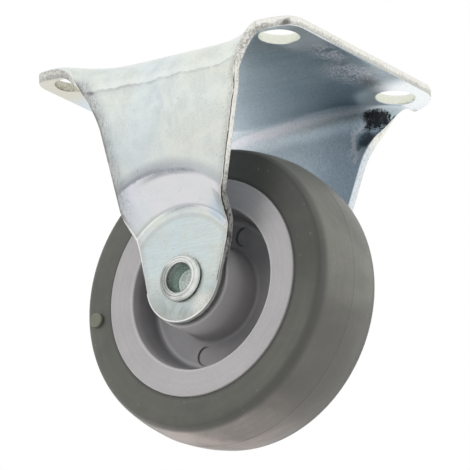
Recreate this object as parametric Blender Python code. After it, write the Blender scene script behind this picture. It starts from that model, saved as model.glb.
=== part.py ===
"""Fixed castor: a wheel that rolls straight ahead between the two legs of one pressed steel bracket.

Frame, in metres: the origin is the centre of the plate's top face, which is screwed to the furniture.
+Z is up, +X is the way the castor rolls and +Y is along the axle. The wheel hangs below, at negative Z.
"""
import bmesh
import bpy
import math
from mathutils import Matrix, Vector

# Wheel
WHEEL_DIAMETER = 0.075
TYRE_WIDTH = 0.025
CROWN_RADIUS = 0.038         # the tread bulges on this radius, seen along the road
SHOULDER_RADIUS = 0.0026
SIDE_BULGE = 0.0003          # how much thinner the tyre is at its rim than at its shoulder
NUB_DIAMETER = 0.0038        # stub of plastic left where the tyre was moulded
NUB_HEIGHT = 0.0014
NUB_ROOT = 0.002             # how deep the nub is set into the tyre
NUB_CIRCLE_RADIUS = 0.0324
NUB_ANGLE = 186.0            # degrees round the axle, from +X towards +Z
RIM_DIAMETER = 0.0556        # seat of the tyre on the hub
RIM_PROUD = 0.0003           # the hub's ring stands out from the tyre's side by this
KEY_HEIGHT = 0.0014          # rib round the rim that locks the tyre on
KEY_WIDTH = 0.008
MOUTH_DIAMETER = 0.0420      # recess in the hub's side, at its lip
FLOOR_DIAMETER = 0.0386      # the same recess, at the web
LIP_RADIUS = 0.0009
RIM_EDGE_RADIUS = 0.0004
WEB_THICKNESS = 0.010
WEB_FILLET = 0.0008
BARREL_DIAMETER = 0.0232
BARREL_DRAFT = 0.0002        # the barrel is this much larger in radius at the web
BARREL_EDGE_RADIUS = 0.0006
BARREL_LENGTH = 0.035
PIN_MARK_DIAMETER = 0.0048   # shallow rounds that the mould's pins left on one side of the web
PIN_MARK_DEPTH = 0.00035
PIN_MARK_CIRCLE_RADIUS = 0.0157
PIN_MARK_ANGLES = (62.0, 257.0)

# Axle rivet
AXLE_DIAMETER = 0.010
AXLE_CLEARANCE = 0.00035     # between the rivet and the hub's bore, on the radius
HOLE_CLEARANCE = 0.0003      # between the rivet and the bracket's holes, on the radius
HEAD_DIAMETER = 0.016
HEAD_HEIGHT = 0.0024
FLARE_DIAMETER = 0.0126      # the end that is rolled over
FLARE_HEIGHT = 0.0014
RIVET_BORE_DIAMETER = 0.0078
RIVET_BORE_DEPTH = 0.0052
RIVET_BORE_DRAFT = 0.0003    # the bore is this much smaller in radius at its bottom
FLARE_UNDERCUT = 0.0002
SEAT_GAP = 0.0003            # under the head and under the flare

# Bracket
SHEET = 0.0025
PLATE_LENGTH = 0.080
PLATE_WIDTH = 0.070
EAR_CORNER_RADIUS = 0.0085
EAR_DIP = 0.0012             # the tips of the ears are drawn down this far by the folds
EAR_DIP_WIDTH = 0.006        # in from the plate's side
EAR_DIP_START = 0.014        # in from the plate's end
EAR_DIP_END = 0.008
HOLE_TO_END = 0.0085         # from the middle of a screw hole to the plate's end
HOLE_TO_SIDE = 0.0095
SCREW_HOLE_DIAMETER = 0.010
AXLE_DROP = 0.0577           # from the plate's top face down to the axle
SIDE_PLAY = 0.0004           # between the end of the hub and a leg
FOLD_START = 0.02236         # the plate is flat this far out from its middle line
FOLD_RADIUS = 0.0082         # on the outside of the sheet
FOLD_STRAIGHT = 0.020        # the fold runs straight over this length, then swings out to the ears
FOLD_SWING = 1.7637          # how steeply it swings at an ear's tip
EAR_FOLD_RADIUS = 0.0032     # the fold tightens to this at the ears
EAR_FOLD_FROM = 0.036        # outside this length of the fold it starts to tighten
LEG_LEAN = 8.0               # degrees that the legs close in as they go down
FLARE_LEAN = 16.0            # degrees more at the edges of a leg, just under the fold
FLARE_FOOT = 0.040           # above the axle, where the flare has died away
NOTCH_DELAY = 0.8            # how slowly the notch beside an ear leaves the ear's tip
LEG_END_RADIUS = 0.011       # round end of a leg, about the axle
LEG_TAPER = 12.6             # degrees between a leg's side and the upright
PAD_RADIUS = 0.016           # flat round the axle
PAD_BEVEL_RADIUS = 0.0184
PAD_BEVEL_RISE = 0.0007
DISH_RADIUS = 0.026          # where the leg starts to be pressed in, above the axle
DISH_EDGE_DROP = 0.0031      # the same line lies this much nearer the axle at the leg's sides
CREASE_SOFTNESS = 0.0012
VALLEY_SOFTNESS = 0.0004

# Fineness of the meshes
WHEEL_SEGMENTS = 56
AXLE_SEGMENTS = 32
HOLE_SEGMENTS = 32
NUB_SEGMENTS = 16
PIN_MARK_SEGMENTS = 24
LEG_COLUMNS = 12
LEG_CROWDING = 68.0          # degrees of a sine that crowds the columns towards the leg's sides
END_COLUMNS = 8
EAR_ROWS = 3
EAR_STEPS = 7
FOLD_ROWS = 8
FLARE_ROWS = 4
LEG_ROWS = 3
DISH_ROWS = 4

PAD_OUT = BARREL_LENGTH / 2 + SIDE_PLAY + SHEET
LEAN_SLOPE = math.tan(math.radians(LEG_LEAN))
AXLE_CENTRE = Vector((0, 0, -AXLE_DROP))
EAR_TIP = PLATE_LENGTH / 2 - EAR_CORNER_RADIUS
EAR_DIP_FROM = PLATE_WIDTH / 2 - EAR_DIP_WIDTH


def smooth_step(t):
    t = min(max(t, 0.0), 1.0)
    return t * t * (3 - 2 * t)


def soft_min(a, b, softness):
    """The smaller of two lengths, with the corner between them rounded."""
    near = max(softness - abs(a - b), 0.0) / softness
    return min(a, b) - near * near * softness / 4


def soft_max(a, b, softness):
    return -soft_min(-a, -b, softness)


def arc(centre, radius, start, end, steps):
    """Points on a circle in a plane, from one angle in degrees to another."""
    points = []
    for i in range(steps + 1):
        angle = math.radians(start + (end - start) * i / steps)
        points.append((centre[0] + radius * math.cos(angle), centre[1] + radius * math.sin(angle)))
    return points


def clear_scene():
    for old in list(bpy.data.objects):
        bpy.data.objects.remove(old, do_unlink=True)


def material(name, colour, roughness, metallic):
    made = bpy.data.materials.new(name)
    made.use_nodes = True
    shader = made.node_tree.nodes["Principled BSDF"]
    shader.inputs["Base Color"].default_value = (*colour, 1)
    shader.inputs["Roughness"].default_value = roughness
    shader.inputs["Metallic"].default_value = metallic
    return made


def link(name, mesh, made_of, smooth_angle):
    """Makes an object of a mesh, smooth where its faces meet at less than an angle."""
    mesh.shade_smooth()
    mesh.set_sharp_from_angle(angle=math.radians(smooth_angle))
    mesh.materials.append(made_of)
    thing = bpy.data.objects.new(name, mesh)
    bpy.context.scene.collection.objects.link(thing)
    return thing


def turned(name, profile, segments):
    """A mesh turned about the Y axis from a closed outline of (radius, y) points."""
    shape = bmesh.new()
    around = []
    for radius, y in profile:
        around.append(shape.verts.new((radius, y, 0)))
    edges = []
    for i, point in enumerate(around):
        edges.append(shape.edges.new((point, around[(i + 1) % len(around)])))
    bmesh.ops.spin(
        shape, geom=around + edges, cent=(0, 0, 0), axis=(0, 1, 0), angle=math.tau, steps=segments,
        use_merge=True, use_duplicate=False)
    bmesh.ops.remove_doubles(shape, verts=shape.verts, dist=1e-6)
    bmesh.ops.recalc_face_normals(shape, faces=shape.faces)
    mesh = bpy.data.meshes.new(name)
    shape.to_mesh(mesh)
    shape.free()
    return mesh


def cylinder(name, radius, low, high, segments):
    """A plain cylinder along Z, from one height to another."""
    shape = bmesh.new()
    bmesh.ops.create_cone(
        shape, cap_ends=True, segments=segments, radius1=radius, radius2=radius, depth=high - low,
        matrix=Matrix.Translation((0, 0, (low + high) / 2)))
    mesh = bpy.data.meshes.new(name)
    shape.to_mesh(mesh)
    shape.free()
    return mesh


def helper(name, mesh):
    """An object that only cuts or adds to another."""
    thing = bpy.data.objects.new(name, mesh)
    bpy.context.scene.collection.objects.link(thing)
    thing.hide_render = True
    thing.display_type = "WIRE"
    return thing


def settle(thing, smooth_angle):
    """Makes the modifiers' result the object's own mesh and marks its sharp edges."""
    bpy.context.view_layer.update()
    depsgraph = bpy.context.evaluated_depsgraph_get()
    mesh = bpy.data.meshes.new_from_object(thing.evaluated_get(depsgraph))
    thing.modifiers.clear()
    thing.data = mesh
    mesh.name = thing.name
    mesh.shade_smooth()
    mesh.set_sharp_from_angle(angle=math.radians(smooth_angle))


def boolean(thing, tool, operation):
    step = thing.modifiers.new(tool.name, "BOOLEAN")
    step.operation = operation
    step.solver = "EXACT"
    step.object = tool


def hub_half():
    """Outline of the hub from the middle of its bore round to the middle of its rim, for y >= 0."""
    bore = AXLE_DIAMETER / 2 + AXLE_CLEARANCE
    barrel = BARREL_DIAMETER / 2
    root = barrel + BARREL_DRAFT
    end = BARREL_LENGTH / 2
    web = WEB_THICKNESS / 2
    floor = FLOOR_DIAMETER / 2
    mouth = MOUTH_DIAMETER / 2
    rim = RIM_DIAMETER / 2
    face = TYRE_WIDTH / 2 + RIM_PROUD
    points = [(bore, 0.0), (bore, end)]
    points += arc((barrel - BARREL_EDGE_RADIUS, end - BARREL_EDGE_RADIUS), BARREL_EDGE_RADIUS, 90, 0, 2)
    points += [(root, web + WEB_FILLET), (root + WEB_FILLET, web)]
    points += [(floor - WEB_FILLET, web), (floor, web + WEB_FILLET)]
    points += arc((mouth + LIP_RADIUS, face - LIP_RADIUS), LIP_RADIUS, 180, 90, 3)
    points += arc((rim - RIM_EDGE_RADIUS, face - RIM_EDGE_RADIUS), RIM_EDGE_RADIUS, 90, 0, 1)
    points += [(rim, KEY_WIDTH / 2 + KEY_HEIGHT / 2), (rim + KEY_HEIGHT, KEY_WIDTH / 2)]
    points += [(rim + KEY_HEIGHT, 0.0)]
    return points


def make_hub(made_of):
    half = hub_half()
    outline = half + [(radius, -y) for radius, y in reversed(half[1:-1])]
    hub = link("wheel_hub", turned("wheel_hub", outline, WHEEL_SEGMENTS), made_of, 35)
    hub.location = AXLE_CENTRE
    pin = cylinder("pin_mark", PIN_MARK_DIAMETER / 2, -PIN_MARK_DEPTH, 4 * PIN_MARK_DEPTH,
                   PIN_MARK_SEGMENTS)
    for degrees in PIN_MARK_ANGLES:
        mark = helper("pin_mark_form", pin)
        angle = math.radians(degrees)
        out = PIN_MARK_CIRCLE_RADIUS
        web = WEB_THICKNESS / 2
        mark.location = AXLE_CENTRE + Vector((out * math.cos(angle), -web, out * math.sin(angle)))
        mark.rotation_euler = (math.radians(90), 0, 0)
        boolean(hub, mark, "DIFFERENCE")
    settle(hub, 35)
    return hub


def tyre_half():
    """Outline of the tyre from the middle of its bore round to the middle of its tread, for y >= 0."""
    bore = RIM_DIAMETER / 2 + SEAT_GAP
    side = TYRE_WIDTH / 2
    crown = WHEEL_DIAMETER / 2
    crown_centre = (crown - CROWN_RADIUS, 0.0)
    # The shoulder's circle touches the crown from inside and the side face
    shoulder_y = side - SHOULDER_RADIUS
    reach = CROWN_RADIUS - SHOULDER_RADIUS
    shoulder = (crown_centre[0] + math.sqrt(reach * reach - shoulder_y * shoulder_y), shoulder_y)
    touch = math.degrees(math.asin(shoulder_y / reach))
    points = [(bore + KEY_HEIGHT, 0.0), (bore + KEY_HEIGHT, KEY_WIDTH / 2 + SEAT_GAP)]
    points += [(bore, KEY_WIDTH / 2 + KEY_HEIGHT / 2 + SEAT_GAP), (bore, side - SIDE_BULGE)]
    points += arc(shoulder, SHOULDER_RADIUS, 90, touch, 4)
    points += arc(crown_centre, CROWN_RADIUS, touch, 0, 4)[1:]
    return points


def make_tyre(made_of):
    half = tyre_half()
    outline = half + [(radius, -y) for radius, y in reversed(half[1:-1])]
    tyre = link("tyre", turned("tyre", outline, WHEEL_SEGMENTS), made_of, 35)
    tyre.location = AXLE_CENTRE
    nub = helper("nub_form", cylinder("nub_form", NUB_DIAMETER / 2, -NUB_ROOT, NUB_HEIGHT, NUB_SEGMENTS))
    angle = math.radians(NUB_ANGLE)
    out = NUB_CIRCLE_RADIUS
    side = TYRE_WIDTH / 2
    nub.location = AXLE_CENTRE + Vector((out * math.cos(angle), -side, out * math.sin(angle)))
    nub.rotation_euler = (math.radians(90), 0, 0)
    boolean(tyre, nub, "UNION")
    settle(tyre, 35)
    return tyre


def axle_outline():
    """Outline of the rivet, from the middle of its hollow end to the middle of its head."""
    shank = AXLE_DIAMETER / 2
    bore = RIVET_BORE_DIAMETER / 2
    flare = FLARE_DIAMETER / 2
    head = HEAD_DIAMETER / 2
    seat = PAD_OUT + SEAT_GAP
    low = -seat
    tip = low - FLARE_HEIGHT
    lip = FLARE_HEIGHT / 2
    points = [(0.0, tip + RIVET_BORE_DEPTH), (bore - RIVET_BORE_DRAFT, tip + RIVET_BORE_DEPTH)]
    points += [(bore, tip + lip)]
    points += arc((bore + lip, tip + lip), lip, 180, 270, 3)[1:]
    points += arc((flare - lip, tip + lip), lip, 270, 360, 3)
    points += [(flare - FLARE_UNDERCUT, low), (shank, low)]
    points += [(shank, seat), (head, seat)]
    points += arc((head - HEAD_HEIGHT / 2, seat + HEAD_HEIGHT / 2), HEAD_HEIGHT / 2, 0, 90, 3)
    points += [(0.0, seat + HEAD_HEIGHT)]
    return points


def make_axle(made_of):
    axle = link("axle_rivet", turned("axle_rivet", axle_outline(), AXLE_SEGMENTS), made_of, 35)
    axle.location = AXLE_CENTRE
    return axle


def fold_start(x):
    """How far out from the middle line the plate is still flat."""
    straight = FOLD_STRAIGHT / 2
    swing = PLATE_WIDTH / 2 - FOLD_START
    share = max(x - straight, 0.0) / (EAR_TIP - straight)
    return FOLD_START + swing * share ** (FOLD_SWING * (EAR_TIP - straight) / swing)


def fold_radius(x):
    share = max(x - EAR_FOLD_FROM / 2, 0.0) / (EAR_TIP - EAR_FOLD_FROM / 2)
    return FOLD_RADIUS - (FOLD_RADIUS - EAR_FOLD_RADIUS) * share ** 2


def ear_dip(x, y):
    """How far a point at the tip of an ear is drawn down."""
    start = PLATE_LENGTH / 2 - EAR_DIP_START
    out = max(abs(y) - EAR_DIP_FROM, 0.0) / EAR_DIP_WIDTH
    return EAR_DIP * smooth_step((abs(x) - start) / (EAR_DIP_START - EAR_DIP_END)) * out * out


def fold_end_lean(x):
    """Degrees past upright at the lower end of the fold: more at the flared edges of a leg."""
    straight = FOLD_STRAIGHT / 2
    flare_width = leg_half_width(FLARE_FOOT) - straight
    return LEG_LEAN + FLARE_LEAN * smooth_step((x - straight) / flare_width)


def leg_half_width(above_axle):
    taper = math.radians(LEG_TAPER)
    return LEG_END_RADIUS / math.cos(taper) + above_axle * math.tan(taper)


def fold_half_width(share):
    """Half the sheet's width across the fold: out to the ears' tips at its start."""
    foot = leg_half_width(AXLE_DROP - FOLD_RADIUS)
    # The notch leaves an ear's tip along X and soon turns down the fold
    late = share * (1 - NOTCH_DELAY * (1 - share) ** 4)
    return EAR_TIP + (foot - EAR_TIP) * late


def leg_plane(above_axle):
    """How far out the leg's outer face stands, before it is pressed in round the axle."""
    lean = math.radians(LEG_LEAN)
    out = FOLD_START + FOLD_RADIUS * math.cos(lean)
    height = AXLE_DROP - FOLD_RADIUS * (1 + math.sin(lean))
    return out + (above_axle - height) * LEAN_SLOPE


def crease_radius(across):
    """Distance from the axle to the line where the leg starts to be pressed in."""
    return DISH_RADIUS - DISH_EDGE_DROP * abs(across) ** 3


def leg_out(x, above_axle):
    """How far out the leg's outer face stands, with the dish round the axle."""
    radius = math.hypot(x, above_axle)
    across = min(abs(x) / leg_half_width(above_axle), 1.0)
    crease = crease_radius(across)
    crease_height = math.sqrt(max(crease * crease - x * x, 0.0))
    bevel_slope = PAD_BEVEL_RISE / (PAD_BEVEL_RADIUS - PAD_RADIUS)
    bevel = PAD_OUT + (radius - PAD_RADIUS) * bevel_slope
    rise = leg_plane(crease_height) - PAD_OUT - PAD_BEVEL_RISE
    ramp = PAD_OUT + PAD_BEVEL_RISE + (radius - PAD_BEVEL_RADIUS) * rise / (crease - PAD_BEVEL_RADIUS)
    dish = soft_max(soft_max(PAD_OUT, bevel, VALLEY_SOFTNESS), ramp, VALLEY_SOFTNESS)
    if above_axle < 0:
        return PAD_OUT
    return soft_min(leg_plane(above_axle), dish, CREASE_SOFTNESS)


def fold_point(across, share):
    """A point on the fold's outer face, across the leg from 0 to 1 and down the fold from 0 to 1."""
    x = across * fold_half_width(share)
    turn = math.radians((90 + fold_end_lean(x)) * share)
    radius = fold_radius(x)
    out = fold_start(x) + radius * math.sin(turn)
    return Vector((x, -out, -radius * (1 - math.cos(turn)) - ear_dip(x, out)))


def flare_point(across, share):
    """A point between the fold and the flat of the leg, where the flared edges die away."""
    x = across * (fold_half_width(1) + (leg_half_width(FLARE_FOOT) - fold_half_width(1)) * share)
    lean = math.radians(fold_end_lean(x))
    radius = fold_radius(x)
    top = Vector((fold_start(x) + radius * math.cos(lean), -radius * (1 + math.sin(lean))))
    foot = Vector((leg_plane(FLARE_FOOT), FLARE_FOOT - AXLE_DROP))
    drop = top.y - foot.y
    height = top.y - drop * share
    # A cubic that leaves the fold and meets the leg along their own slopes
    out = (top.x * (2 * share ** 3 - 3 * share ** 2 + 1)
           - drop * math.tan(lean) * (share ** 3 - 2 * share ** 2 + share)
           + foot.x * (3 * share ** 2 - 2 * share ** 3)
           - drop * LEAN_SLOPE * (share ** 3 - share ** 2))
    return Vector((x, -out, height))


def leg_point(x, above_axle):
    return Vector((x, -leg_out(x, above_axle), above_axle - AXLE_DROP))


def ring_point(across, radius):
    """A point of the leg at a distance from the axle, across the leg from 0 to 1."""
    side_angle = math.radians(LEG_TAPER) + math.asin(min(LEG_END_RADIUS / radius, 1.0))
    angle = across * side_angle
    return radius * math.sin(angle), radius * math.cos(angle)


def columns_across():
    """The columns of points from a leg's middle line to its side, as shares of its half width."""
    crowding = math.radians(LEG_CROWDING)
    return [math.sin(crowding * i / LEG_COLUMNS) / math.sin(crowding) for i in range(LEG_COLUMNS + 1)]


def leg_rows():
    """The rows of points down a quarter of the bracket's outer face, from the fold to the round end."""
    shares = columns_across()
    rows = []
    for row in range(FOLD_ROWS + 1):
        rows.append([fold_point(across, row / FOLD_ROWS) for across in shares])
    for row in range(1, FLARE_ROWS + 1):
        rows.append([flare_point(across, row / FLARE_ROWS) for across in shares])
    for row in range(1, LEG_ROWS):
        points = []
        for across in shares:
            x, height = ring_point(across, crease_radius(across) + CREASE_SOFTNESS)
            top = across * leg_half_width(FLARE_FOOT)
            share = row / LEG_ROWS
            points.append(leg_point(top + (x - top) * share, FLARE_FOOT + (height - FLARE_FOOT) * share))
        rows.append(points)
    dish = []
    for across in shares:
        crease = crease_radius(across)
        radii = [crease + CREASE_SOFTNESS, crease]
        for row in range(1, DISH_ROWS + 1):
            radii.append(crease + (PAD_BEVEL_RADIUS - crease) * row / DISH_ROWS)
        radii += [PAD_RADIUS, (PAD_RADIUS + LEG_END_RADIUS) / 2, LEG_END_RADIUS]
        dish.append([leg_point(*ring_point(across, radius)) for radius in radii])
    rows += [list(row) for row in zip(*dish)]
    return rows


def end_rings():
    """Rings of points round the axle hole, from straight up to straight down."""
    side = 90 + LEG_TAPER
    angles = [side * share for share in columns_across()]
    angles += [side + (180 - side) * i / END_COLUMNS for i in range(1, END_COLUMNS + 1)]
    hole = AXLE_DIAMETER / 2 + HOLE_CLEARANCE
    rings = []
    for radius in (LEG_END_RADIUS, (LEG_END_RADIUS + hole) / 2, hole):
        ring = []
        for angle in angles:
            turn = math.radians(angle)
            ring.append(leg_point(radius * math.sin(turn), radius * math.cos(turn)))
        rings.append(ring)
    return rings


def add_strips(shape, rows):
    made = [[shape.verts.new(point) for point in row] for row in rows]
    for upper, lower in zip(made, made[1:]):
        for i in range(len(upper) - 1):
            shape.faces.new((upper[i], lower[i], lower[i + 1], upper[i + 1]))


def add_plate(shape, fold_line):
    """One quarter of the plate, as far as the line where the fold starts, with its ear drawn down."""
    half_length = PLATE_LENGTH / 2
    centre = (EAR_TIP, EAR_CORNER_RADIUS - PLATE_WIDTH / 2)
    dip_angle = -math.degrees(math.asin((EAR_DIP_FROM + centre[1]) / EAR_CORNER_RADIUS))
    flat_line = [(point.x, point.y) for point in fold_line if point.y >= -EAR_DIP_FROM]
    start = flat_line[-1]
    edge = [start] + [(point.x, point.y) for point in fold_line if point.y < -EAR_DIP_FROM]
    edge += arc(centre, EAR_CORNER_RADIUS, -90, dip_angle, EAR_STEPS)[1:]
    end = edge[-1]
    chord = []
    for x, y in edge:
        chord.append((x, start[1] + (end[1] - start[1]) * (x - start[0]) / (end[0] - start[0])))
    rows = []
    for row in range(EAR_ROWS + 1):
        share = row / EAR_ROWS
        points = []
        for (x, inner), (x, outer) in zip(chord, edge):
            y = inner + (outer - inner) * share
            points.append(Vector((x, y, -ear_dip(x, y))))
        rows.append(points)
    add_strips(shape, rows)
    outline = [(0.0, 0.0)] + flat_line + chord[1:]
    outline += arc(centre, EAR_CORNER_RADIUS, dip_angle, 0, 3)[1:]
    outline += [(half_length, 0.0)]
    shape.faces.new([shape.verts.new((x, y, 0)) for x, y in outline])


def sheet_step(corner):
    """The way from a point on the sheet's outer face to the same point on its inner face."""
    normal = corner.normal
    # A leg is pressed in without being pushed sideways, so its cut sides stay in line
    above = corner.co.z + AXLE_DROP
    sideways = smooth_step((above - FLARE_FOOT) / (AXLE_DROP - FOLD_RADIUS - FLARE_FOOT))
    way = Vector((normal.x * sideways, normal.y, normal.z))
    return -way * SHEET * corner.calc_shell_factor() / normal.dot(way)


def thicken(shape):
    """Gives an open face the sheet's thickness."""
    step = shape.verts.layers.float_vector.new("sheet_step")
    for corner in shape.verts:
        corner[step] = sheet_step(corner)
    made = bmesh.ops.extrude_face_region(shape, geom=shape.faces[:], use_keep_orig=True)
    for item in made["geom"]:
        if isinstance(item, bmesh.types.BMVert):
            item.co += item[step]
    bmesh.ops.recalc_face_normals(shape, faces=shape.faces)


def make_bracket(made_of):
    """One sheet: a quarter of its outer face, mirrored twice, given its thickness and then its holes."""
    shape = bmesh.new()
    rows = leg_rows()
    add_strips(shape, rows)
    add_strips(shape, end_rings())
    add_plate(shape, rows[0])
    bmesh.ops.remove_doubles(shape, verts=shape.verts, dist=1e-6)
    for axis in ("X", "Y"):
        bmesh.ops.mirror(
            shape, geom=shape.verts[:] + shape.edges[:] + shape.faces[:], matrix=Matrix.Identity(4),
            merge_dist=1e-6, axis=axis)
    bmesh.ops.recalc_face_normals(shape, faces=shape.faces)
    if max(shape.faces, key=lambda face: face.calc_area()).normal.z < 0:
        bmesh.ops.reverse_faces(shape, faces=shape.faces)
    shape.normal_update()
    thicken(shape)
    mesh = bpy.data.meshes.new("bracket")
    shape.to_mesh(mesh)
    shape.free()
    bracket = link("bracket", mesh, made_of, 40)
    drill = cylinder("screw_hole", SCREW_HOLE_DIAMETER / 2, -2 * SHEET, SHEET, HOLE_SEGMENTS)
    hole_x = PLATE_LENGTH / 2 - HOLE_TO_END
    hole_y = PLATE_WIDTH / 2 - HOLE_TO_SIDE
    for side_x in (-1, 1):
        for side_y in (-1, 1):
            hole = helper("screw_hole_form", drill)
            hole.location = (side_x * hole_x, side_y * hole_y, 0)
            boolean(bracket, hole, "DIFFERENCE")
    settle(bracket, 40)
    return bracket


def build():
    clear_scene()
    zinc = material("zinc_plated_steel", (0.62, 0.64, 0.62), 0.32, 1.0)
    grey_plastic = material("grey_polypropylene", (0.36, 0.35, 0.35), 0.45, 0.0)
    grey_rubber = material("grey_rubber", (0.12, 0.12, 0.105), 0.6, 0.0)
    make_bracket(zinc)
    make_axle(zinc)
    make_hub(grey_plastic)
    make_tyre(grey_rubber)


build()
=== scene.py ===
# %% [markdown]
# # A fixed castor, dressed for a close look
#
# A fixed castor is the plain kind that only rolls straight ahead. One pressed sheet of zinc-plated steel
# makes the plate and both legs, a rivet goes through the legs, and a plastic wheel with a soft tyre turns
# on it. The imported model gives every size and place. This lesson makes finer pieces over it and finishes
# them.

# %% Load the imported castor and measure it
import math

import bmesh
import bpy
from mathutils import Matrix, Vector
from mathutils.bvhtree import BVHTree


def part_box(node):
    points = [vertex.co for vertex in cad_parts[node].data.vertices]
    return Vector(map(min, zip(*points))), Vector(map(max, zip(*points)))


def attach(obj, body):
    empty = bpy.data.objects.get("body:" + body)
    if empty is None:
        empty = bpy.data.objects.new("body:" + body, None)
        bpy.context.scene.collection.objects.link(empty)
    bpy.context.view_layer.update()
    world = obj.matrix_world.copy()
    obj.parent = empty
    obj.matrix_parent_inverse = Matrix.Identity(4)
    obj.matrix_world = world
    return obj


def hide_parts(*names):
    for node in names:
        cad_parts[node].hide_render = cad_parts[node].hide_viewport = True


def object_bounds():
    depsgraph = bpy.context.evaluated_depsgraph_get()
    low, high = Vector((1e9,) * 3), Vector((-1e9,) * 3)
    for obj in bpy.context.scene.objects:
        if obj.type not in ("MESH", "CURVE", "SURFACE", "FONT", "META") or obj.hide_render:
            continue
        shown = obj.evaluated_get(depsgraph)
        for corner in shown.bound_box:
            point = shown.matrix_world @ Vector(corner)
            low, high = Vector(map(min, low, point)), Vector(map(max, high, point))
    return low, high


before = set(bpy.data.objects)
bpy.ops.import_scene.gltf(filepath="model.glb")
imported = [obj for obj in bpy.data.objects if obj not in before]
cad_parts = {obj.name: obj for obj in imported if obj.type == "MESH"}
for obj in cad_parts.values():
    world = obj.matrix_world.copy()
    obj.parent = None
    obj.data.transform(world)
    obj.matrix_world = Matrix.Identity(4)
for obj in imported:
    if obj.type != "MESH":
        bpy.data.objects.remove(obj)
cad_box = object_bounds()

for part_name in sorted(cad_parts):
    low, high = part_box(part_name)
    print(part_name, "is", [round(1000 * side, 1) for side in high - low], "mm")

# %% [markdown]
# ## Working by hand, in code
#
# A tool in Blender acts on whatever is selected, so a step starts by selecting one object and nothing else.
# In edit mode, points, edges and faces are picked by where they are, which is what a hand on the mouse
# does.

# %% Select one object, or pick parts of its mesh
def only(piece=None):
    bpy.ops.object.select_all(action="DESELECT")
    if piece:
        piece.select_set(True)
    bpy.context.view_layer.objects.active = piece


def start_editing(piece, kind="VERT"):
    only(piece)
    bpy.ops.object.mode_set(mode="EDIT")
    bpy.ops.mesh.select_mode(type=kind)
    bpy.ops.mesh.select_all(action="SELECT")


def stop_editing():
    bpy.ops.object.mode_set(mode="OBJECT")


def pick(piece, test):
    """In edit mode, selects the points that pass a test and says how many there were."""
    bpy.ops.mesh.select_mode(type="VERT")
    bpy.ops.mesh.select_all(action="DESELECT")
    shape = bmesh.from_edit_mesh(piece.data)
    for point in shape.verts:
        point.select = test(point.co)
    shape.select_flush_mode()
    bmesh.update_edit_mesh(piece.data)
    return sum(point.select for point in shape.verts)


def apply_modifiers(piece):
    only(piece)
    for name in [modifier.name for modifier in piece.modifiers]:
        bpy.ops.object.modifier_apply(modifier=name)


def shade(piece, degrees):
    """Smooths gentle edges. The large faces decide, so that no narrow rounding shades the flat beside it."""
    only(piece)
    bpy.ops.object.shade_smooth_by_angle(angle=math.radians(degrees))
    flats = piece.modifiers.new("flats", "WEIGHTED_NORMAL")
    flats.keep_sharp = True
    apply_modifiers(piece)


def cut_away(piece, tools):
    """Cuts the tools out of a piece, and removes them."""
    for tool in tools:
        cut = piece.modifiers.new(tool.name, "BOOLEAN")
        cut.operation = "DIFFERENCE"
        cut.solver = "EXACT"
        cut.object = tool
    apply_modifiers(piece)
    for tool in tools:
        bpy.data.objects.remove(tool, do_unlink=True)


# %% [markdown]
# ## The bracket: one blank, bent in a press
#
# The real bracket starts as a flat blank. Two folds turn the legs down, the legs flare at their edges just
# under the folds, and each is pressed in to a round flat pad about the axle. It could be built of boxes,
# but then the folds and the dish would never run into each other as sheet metal does. So a grid stands for
# the blank, and every point of it is taken to where the press takes it. One quarter is enough: the rest
# mirrors.

# %% The bracket's sizes, in metres
SHEET = 0.0025
BROKEN_EDGE = 0.00026
PLATE_LENGTH, PLATE_WIDTH = 0.080, 0.070
EAR_CORNER = 0.0085
EAR_DIP, EAR_DIP_WIDTH, EAR_DIP_START, EAR_DIP_END = 0.0012, 0.006, 0.014, 0.008
HOLE_X, HOLE_Y, HOLE_RADIUS = PLATE_LENGTH / 2 - 0.0085, PLATE_WIDTH / 2 - 0.0095, 0.005
AXLE_DROP = 0.0577
AXLE_HOLE = 0.0053
PAD_OUT = 0.0204
FOLD_START, FOLD_RADIUS, FOLD_STRAIGHT, FOLD_SWING = 0.02236, 0.0082, 0.010, 1.7637
EAR_FOLD_RADIUS, EAR_FOLD_FROM = 0.0032, 0.018
LEG_LEAN, FLARE_LEAN, FLARE_FOOT, NOTCH_DELAY = 8.0, 16.0, 0.040, 0.8
LEG_END, LEG_TAPER = 0.011, math.radians(12.6)
PAD_RADIUS, PAD_BEVEL, PAD_RISE = 0.016, 0.0184, 0.0007
DISH_RADIUS, DISH_EDGE_DROP = 0.026, 0.0031
CREASE, VALLEY = 0.0012, 0.0004
EAR_TIP = PLATE_LENGTH / 2 - EAR_CORNER
COLUMNS, EAR_COLUMNS, END_COLUMNS, CROWDING = 26, 10, 16, math.radians(58)
FOLD_ROWS, FLARE_ROWS, FLAT_ROWS, LEG_ROWS, END_ROWS = 18, 28, 36, 60, 4
PLATE_ROWS = (0, 0.35, 0.65, 0.83, 0.87, 0.91, 0.955, 1)
print("plate", 1000 * PLATE_LENGTH, "by", 1000 * PLATE_WIDTH, "mm, axle", 1000 * AXLE_DROP, "mm below")


# %% The folded sheet: the fold, the flared edges and the dish
def smooth_step(t):
    t = min(max(t, 0.0), 1.0)
    return t * t * (3 - 2 * t)


def soft_min(a, b, softness):
    near = max(softness - abs(a - b), 0.0) / softness
    return min(a, b) - near * near * softness / 4


def soft_max(a, b, softness):
    return -soft_min(-a, -b, softness)


def fold_start(x):
    """How far out from the middle line the plate is still flat."""
    swing = PLATE_WIDTH / 2 - FOLD_START
    share = max(x - FOLD_STRAIGHT, 0.0) / (EAR_TIP - FOLD_STRAIGHT)
    return FOLD_START + swing * share ** (FOLD_SWING * (EAR_TIP - FOLD_STRAIGHT) / swing)


def fold_radius(x):
    share = max(x - EAR_FOLD_FROM, 0.0) / (EAR_TIP - EAR_FOLD_FROM)
    return FOLD_RADIUS - (FOLD_RADIUS - EAR_FOLD_RADIUS) * share ** 2


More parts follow.
